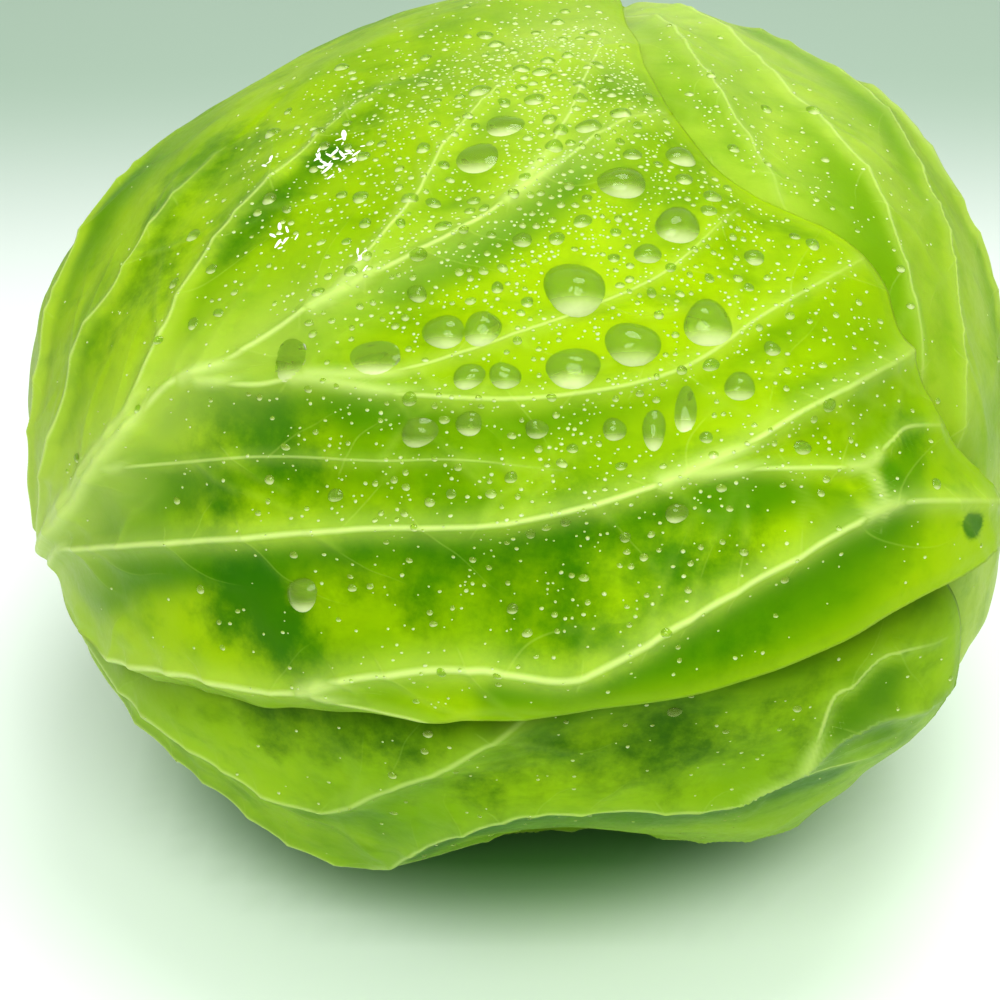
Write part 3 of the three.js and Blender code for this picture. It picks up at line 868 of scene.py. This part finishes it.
def scatter_flecks():
    """Short runs of water where a wet stretch of leaf glints; their material paints them as near-white
    painted glints.
    """
    draw = np.random.default_rng(41)
    flecks = Drops()
    for place, count, spread in FLECKS:
        middle = toward(*place)
        ways = unit(middle + draw.normal(size=(count, 3)) * spread / MEAN_RADIUS)
        wide, tall, turn = draw.uniform(0.2, 0.4, count), np.full(count, 0.25), draw.uniform(0, 3, count)
        shapes = np.stack([wide, tall, turn], axis=1)
        flecks.add(ways, draw.uniform(0.4, 1.5, count), shapes)
    return flecks


def surface(order, ways):
    """Outer points of a leaf along each direction."""
    return leaf_faces(order, ways)[0]


def drop_grid(size):
    """Sides and rings of a drop's mesh."""
    return next((sides, rings) for least, sides, rings in DROP_GRIDS if size >= least)


def leaf_frame(order, ways, half):
    """Places on a leaf along each direction, with the normal, downhill and level direction there."""
    aside = unit(np.cross(ways, STALK_AXIS))
    along = np.cross(aside, ways)
    step = np.maximum(0.4 * half, 0.25)[:, None] / MEAN_RADIUS
    here = surface(order, ways)
    normals = np.cross(surface(order, unit(ways + step * aside)) - here,
                       surface(order, unit(ways + step * along)) - here)
    normals = unit(normals * np.sign((normals * ways).sum(axis=1, keepdims=True)))
    downhill = unit(DOWNHILL - (normals @ DOWNHILL)[:, None] * normals)
    return here, normals, downhill, np.cross(normals, downhill)


def dome(half, shape, sides, rings, draw):
    """How far the points of a drop lie across, downhill of and above its middle; its top comes last."""
    wide, tall, turn = shape
    angle = np.tile(np.arange(sides) * 2 * math.pi / sides, rings)
    share = np.repeat(np.sin(np.arange(1, rings + 1) / rings * math.pi / 2), sides)
    wobble = 1 + 0.05 * np.sin(2 * angle + draw.uniform(0, 6))
    wobble = wobble + 0.04 * np.sin(3 * angle + draw.uniform(0, 6))
    side = half * math.sqrt(wide) * share * wobble * np.cos(angle)
    length = half / math.sqrt(wide) * share * wobble * np.sin(angle)
    side, length = (side * math.cos(turn) - length * math.sin(turn),
                    side * math.sin(turn) + length * math.cos(turn))
    side, length, share = (np.append(values, 0) for values in (side, length, share))
    height = tall * half
    ball = (half**2 + height**2) / (2 * height)
    rise = np.sqrt(ball**2 - (share * half) ** 2) - (ball - height)
    return side, length, rise


def dome_faces(start, sides, rings):
    """Faces of a closed drop whose first point is number start, from its top out and across its base."""
    ring = start + np.arange(sides)
    following = start + (np.arange(sides) + 1) % sides
    faces = [[start + rings * sides, int(b), int(a)] for a, b in zip(ring, following)]
    for _ in range(rings - 1):
        faces += [[int(a), int(b), int(b + sides), int(a + sides)] for a, b in zip(ring, following)]
        ring, following = ring + sides, following + sides
    return faces + [[int(a) for a in ring]]


def make_drops(name, drops, chosen, material):
    """Closed domes of water standing on whichever leaf is outermost, joined in one piece."""
    orders = top_leaf(drops.ways[chosen])
    draw = np.random.default_rng(len(chosen))
    points, faces, slope, start = [], [], [], 0
    for order in sorted(set(orders[orders >= 0])):
        members = chosen[orders == order]
        halves = drops.sizes[members] / 2
        frames = zip(*leaf_frame(order, drops.ways[members], halves))
        for member, half, (here, normal, downhill, across) in zip(members, halves, frames):
            sides, rings = drop_grid(drops.sizes[member])
            side, length, rise = dome(half, drops.shapes[member], sides, rings, draw)
            flat = here + side[:, None] * across + length[:, None] * downhill
            if drops.sizes[member] >= LEAST_FOLLOWING:
                flat = surface(order, unit(flat - CENTRE))
            sunk = min(0.1, 0.12 * half)
            points.append(flat + (rise - sunk)[:, None] * normal)
            slope.append(length / (half / math.sqrt(drops.shapes[member][0])))
            faces += dome_faces(start, sides, rings)
            start += rings * sides + 1
    made = make_object(name, np.vstack(points), faces, material)
    add_mask(made, "slope", np.concatenate(slope))
    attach(made, "root")


def water_material(name, most_painted_glow, low=0.1, high=0.95, least=0.0, bright=(236, 247, 184)):
    """Clear water with painted light: down each drop's slope it goes from the least to the greatest share of
    a painted glow, and from green to bright, standing in for the light that the drop gathers on its lower
    side.
    """
    material, tree = new_material(name)
    where = add_node(tree, "ShaderNodeTexCoord").outputs["Object"]
    lower = ramp(tree, attribute(tree, "slope"), low, high)
    uneven = arithmetic(tree, "MULTIPLY_ADD", noise(tree, where, 500.0, 2.0), 0.3, 0.85)
    glow = arithmetic(tree, "MULTIPLY_ADD", lower, most_painted_glow - least, least)
    glow = arithmetic(tree, "MULTIPLY", glow, uneven)
    add_surface(tree, {
        "Base Color": mix_colour(tree, lower, linear(200, 230, 84), linear(*bright)), "Roughness": 0.03,
        "IOR": 1.33, "Specular IOR Level": 0.35,
        "Transmission Weight": arithmetic(tree, "SUBTRACT", 1.0, glow)})
    return material


# each drop material paints light: the lower side of every drop glows pale, as painted light
water = water_material("water", 0.6, least=0.16)
small_water = water_material("small_water", 0.6, low=-0.3, high=0.8, least=0.25)
mist_water = water_material("mist_water", 0.6, low=-0.9, high=0.6, least=0.4, bright=(238, 248, 200))
# nearly opaque near-white water: painted glints
painted_glint_water = water_material("painted_glint_water", 1.0, low=-2, high=-1.5, least=0.9, bright=(250, 253, 238))

drops = scatter_drops()
make_drops("large_drops", drops, drops.between_sizes(LEAST_FOLLOWING, math.inf), water)
make_drops("small_drops", drops, drops.between_sizes(MIST, LEAST_FOLLOWING), small_water)
make_drops("mist_drops", drops, drops.between_sizes(0, MIST), mist_water)
flecks = scatter_flecks()
make_drops("wet_glint_flecks", flecks, np.arange(len(flecks.ways)), painted_glint_water)

# ---------------------------------------------------------------- heart

HEART_FINE = 70  # cells along each of the six sides of the heart's mesh


def ball_grid(cells):
    """Directions and quads of a cube's six gridded sides blown up to a ball, with their edges welded."""
    line = np.tan(np.linspace(-1, 1, cells + 1) * math.pi / 4)
    u, v = (grid.ravel() for grid in np.meshgrid(line, line, indexing="ij"))
    ways, faces = [], []
    for axis in range(3):
        for side in (-1, 1):
            block = np.zeros((len(u), 3))
            block[:, axis], block[:, (axis + 1) % 3], block[:, (axis + 2) % 3] = side, u, v
            faces += grid_faces(cells, len(ways) * len(u), flip=side > 0)
            ways.append(unit(block))
    ways = np.vstack(ways)
    _, first, number = np.unique(np.round(ways, 6), axis=0, return_index=True, return_inverse=True)
    number = number.ravel()
    return ways[first], [[int(number[corner]) for corner in face] for face in faces]


def make_heart(material):
    """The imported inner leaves, seen as the faintly ribbed outside of the innermost visible one."""
    ways, faces = ball_grid(HEART_FINE)
    ribs = [rib for around in (20, 140, 260) for rib in rib_fan(around, 150, 3, around)]
    fields = rib_fields(ways, ribs)
    level = stacked([leaf.seen(ways) for leaf in LEAVES], 0, len(LEAVES))
    lift = 0.35 * fields["ridge"] + 0.2 * fields["crest"] + 0.15 * ripple(ways, 18, 5) - 0.4
    outer = keep_above(level, ways, heart_radius(ways) + lift)
    made = make_object("fine_heart", CENTRE + ways * outer[:, None], faces, material)
    # the heart's masks carry the ribs' painted fold shading too: painted shade below each rib, painted light
    # above it
    masks = {"band": fields["band"], "painted_fold_shading": fields["painted_fold_shading"], "vein_away": np.full(len(ways), FAR),
             "vein_line": np.full(len(ways), 0.5),
             "base": 1 - smoothstep(angle_between(ways, STALK_AXIS), 14, 62)}
    masks |= line_masks("rib", fields)
    for name, values in masks.items():
        add_mask(made, name, values)
    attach(made, "root")
    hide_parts("heart")
    return made


make_heart(leaf_looks["pale_leaf"])

# ---------------------------------------------------------------- stalk

STALK_TURNS = 160  # points in each ring round the stalk
STALK_ROWS = 44  # rings along its side
CUT_RINGS = 26  # rings across its cut face
STRETCH_ROUND, STRETCH_ALONG = 0.35, 60  # how its unevenness is stretched


def stalk_material():
    """Cut stalk: green fibrous skin, a pale face with a ring of bundles, browned where it has dried."""
    material, tree = new_material("stalk")
    where = add_node(tree, "ShaderNodeTexCoord").outputs["Object"]
    across = attribute(tree, "across")
    fibres = ramp(tree, noise(tree, where, 1500.0, 3.0), 0.35, 0.7)
    clouds = ramp(tree, noise(tree, where, 110.0, 4.0), 0.3, 0.7)
    bundles = add_node(tree, "ShaderNodeTexVoronoi", {"Vector": where, "Scale": 620.0}).outputs["Distance"]
    dots = arithmetic(tree, "SUBTRACT", 1.0, ramp(tree, bundles, 0.15, 0.5))
    ring = arithmetic(tree, "MULTIPLY", ramp(tree, across, 0.6, 0.72), ramp(tree, across, 0.9, 0.8))
    spots = arithmetic(tree, "MULTIPLY", ring, scaled(tree, dots, 0.7))
    skin = mix_colour(tree, clouds, linear(136, 164, 60), linear(168, 190, 96))
    skin = mix_colour(tree, scaled(tree, fibres, 0.3), skin, linear(196, 208, 142))
    face = mix_colour(tree, clouds, linear(204, 208, 158), linear(220, 222, 178))
    face = mix_colour(tree, scaled(tree, fibres, 0.25), face, linear(186, 190, 126))
    face = mix_colour(tree, spots, face, linear(160, 172, 92))
    dried = arithmetic(tree, "MULTIPLY", ramp(tree, across, 0.86, 1.0), ramp(tree, clouds, 0.2, 0.9))
    face = mix_colour(tree, scaled(tree, dried, 0.8), face, linear(150, 122, 66))
    add_surface(tree, {
        "Base Color": mix_colour(tree, ramp(tree, attribute(tree, "cut"), 0.3, 0.7), skin, face),
        "Roughness": arithmetic(tree, "MULTIPLY_ADD", fibres, 0.2, 0.45),
        "Normal": bump(tree, fibres, 0.5, 0.0002), "Specular IOR Level": 0.3, "Subsurface Weight": 0.15,
        "Subsurface Radius": (1.0, 1.0, 0.5), "Subsurface Scale": 0.002}, subsurface_method="BURLEY")
    return material


def make_stalk(material):
    """Tapering stump with uneven sides, where leaf stalks came away, and a slightly dished cut face."""
    end, rim = STALK_PROFILE[-1]
    reach, radius = np.array(STALK_PROFILE, float).T
    along = np.concatenate([np.linspace(reach[0], end - 1, STALK_ROWS), np.full(CUT_RINGS, float(end))])
    share = np.linspace(1, 0, CUT_RINGS + 1)[1:]
    wide = np.concatenate([np.interp(along[:STALK_ROWS], reach, radius), rim * share])
    turn = np.arange(STALK_TURNS) * 2 * math.pi / STALK_TURNS
    side = np.cos(turn)[:, None] * ON_TOP + np.sin(turn)[:, None] * TO_FRONT
    ways = unit(side[None] * STRETCH_ROUND + STALK_AXIS * (along[:, None, None] / STRETCH_ALONG))
    flat = ways.reshape(-1, 3)
    uneven = ripple(flat, 12, 31).reshape(ways.shape[:2])
    grain = ripple(flat, 5, 32).reshape(ways.shape[:2])
    on_face = np.arange(len(along)) >= STALK_ROWS
    lobes = 0.035 * np.sin(5 * turn + 0.6) + 0.02 * np.sin(8 * turn)
    spread = wide[:, None] * (1 + lobes - 0.012 + np.where(on_face[:, None], 0, 0.02) * uneven)
    dish = np.where(on_face, -0.9 * np.sin(np.clip(wide / rim, 0, 1) * math.pi) ** 2 - 0.3, 0)
    height = along[:, None] + dish[:, None] + np.where(on_face[:, None], 0.12, 0) * (uneven + grain)
    height[STALK_ROWS] = along[STALK_ROWS] - 0.3
    points = CENTRE + STALK_AXIS * height[..., None] + side[None] * spread[..., None]
    rows, faces = len(along), []
    for row in range(rows - 2):
        for k in range(STALK_TURNS):
            a, b = row * STALK_TURNS + k, row * STALK_TURNS + (k + 1) % STALK_TURNS
            faces.append([a + STALK_TURNS, b + STALK_TURNS, b, a])
    last = (rows - 2) * STALK_TURNS
    middle = (rows - 1) * STALK_TURNS
    faces += [[middle, last + (k + 1) % STALK_TURNS, last + k] for k in range(STALK_TURNS)]
    faces.append(list(range(STALK_TURNS)))
    made = make_object("fine_stalk", points.reshape(-1, 3)[:middle + 1], faces, material)
    across = np.where(on_face, wide / rim, 1)
    for name, values in (("across", across), ("cut", on_face.astype(float))):
        add_mask(made, name, np.repeat(values, STALK_TURNS)[:middle + 1])
    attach(made, "root")
    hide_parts("stalk")
    return made


make_stalk(stalk_material())

# ---------------------------------------------------------------- studio

FLOOR_HALF = 1600.0
FLOOR_CELLS = 160  # along each side, narrower towards the middle
FAR_FLOOR_SHADE = (110, 330)  # painted shade that greys the floor behind the head grows over these
GREEN_FROM, GREEN_SPREAD = 60, 55  # the head's green light on the floor fades from here
CONTACT_SHADOW = (34, 60)  # the painted dark contact shadow right under the head gives out over these
CONTACT_SHADOW_STRETCH = 1.25  # along x


def floor_material():
    """Pale floor with painted light and shade: painted green bounce light from the head near it, a painted
    dark contact shadow right under it, and painted shade that greys it far behind the head.
    """
    material, tree = new_material("floor")
    where = add_node(tree, "ShaderNodeTexCoord").outputs["Object"]
    shade = noise(tree, where, 3.0, 2.0)
    colour = mix_colour(tree, shade, linear(246, 250, 248), linear(251, 253, 252))
    # painted shade far behind the head
    colour = mix_colour(tree, attribute(tree, "behind"), colour, linear(176, 197, 179))
    # painted green bounce light from the head
    colour = mix_colour(tree, attribute(tree, "green"), colour, linear(178, 224, 178))
    # painted contact shadow right under the head
    colour = mix_colour(tree, attribute(tree, "painted_contact_shadow"), colour, linear(60, 130, 10))
    add_surface(tree, {"Base Color": colour, "Roughness": 0.5})
    return material


def make_floor():
    line = np.linspace(-1, 1, FLOOR_CELLS + 1)
    line = np.sign(line) * line**2 * FLOOR_HALF
    x, y = (grid.ravel() for grid in np.meshgrid(line, line, indexing="ij"))
    points = np.stack([x, y, np.full(len(x), FOOT.z)], axis=1)
    made = make_object("floor", points, grid_faces(FLOOR_CELLS, 0), floor_material(), smooth=False)
    away = np.hypot(x - FOOT.x, y - FOOT.y)
    under = np.hypot((x - FOOT.x) / CONTACT_SHADOW_STRETCH, y - FOOT.y)
    # masks for the painted shade behind the head, the painted green bounce light and the painted contact
    # shadow
    add_mask(made, "behind", smoothstep(y, *FAR_FLOOR_SHADE))
    add_mask(made, "green", 0.3 * np.exp(-(np.maximum(away - GREEN_FROM, 0) / GREEN_SPREAD) ** 2))
    add_mask(made, "painted_contact_shadow", 0.9 * (1 - smoothstep(under, *CONTACT_SHADOW)))


make_floor()


def area_light(name, place, target, size, watts):
    data = bpy.data.lights.new(name, "AREA")
    data.shape, data.size, data.energy = "DISK", size * MM, watts
    lamp = bpy.data.objects.new(name, data)
    lamp.location = Vector(place) * MM
    lamp.rotation_euler = (Vector(target) * MM - lamp.location).to_track_quat("-Z", "Y").to_euler()
    bpy.context.scene.collection.objects.link(lamp)


middle = tuple(CENTRE)
area_light("key", (115, 60, 780), middle, 380, 2.2)
area_light("fill", (100, -600, 450), middle, 700, 0.4)
area_light("floor_light", (0, -340, 430), (0, -310, 0), 300, 1.3)

world = bpy.data.worlds.new("studio")
world.use_nodes = True
bpy.context.scene.world = world
world.node_tree.nodes["Background"].inputs["Color"].default_value = (0.93, 1.0, 0.95, 1.0)
world.node_tree.nodes["Background"].inputs["Strength"].default_value = 0.62

# ---------------------------------------------------------------- camera

CAMERA_ELEVATION = math.radians(35)
CAMERA_DISTANCE = 338.0
AIM_SIDE, AIM_HEIGHT, AIM_DROP = -3.2, 69, 12.45  # from the foot, then down the picture
back = Vector((0, -math.cos(CAMERA_ELEVATION), math.sin(CAMERA_ELEVATION)))
upward = Vector((0, math.sin(CAMERA_ELEVATION), math.cos(CAMERA_ELEVATION)))
aim = Vector((FOOT.x + AIM_SIDE, FOOT.y, FOOT.z + AIM_HEIGHT)) - upward * AIM_DROP
camera_data = bpy.data.cameras.new("camera")
camera_data.lens, camera_data.sensor_width = 70, 36
camera = bpy.data.objects.new("camera", camera_data)
camera.location = (aim + back * CAMERA_DISTANCE) * MM
camera.rotation_euler = (-back).to_track_quat("-Z", "Y").to_euler()
camera_data.clip_start, camera_data.clip_end = 0.01, 10
bpy.context.scene.collection.objects.link(camera)
bpy.context.scene.camera = camera
bpy.context.scene.view_settings.view_transform = "Standard"
bpy.context.scene.view_settings.look = "Medium High Contrast"
cycles = bpy.context.scene.cycles
cycles.use_denoising = True
cycles.max_bounces, cycles.diffuse_bounces, cycles.glossy_bounces, cycles.transmission_bounces = 8, 3, 3, 6
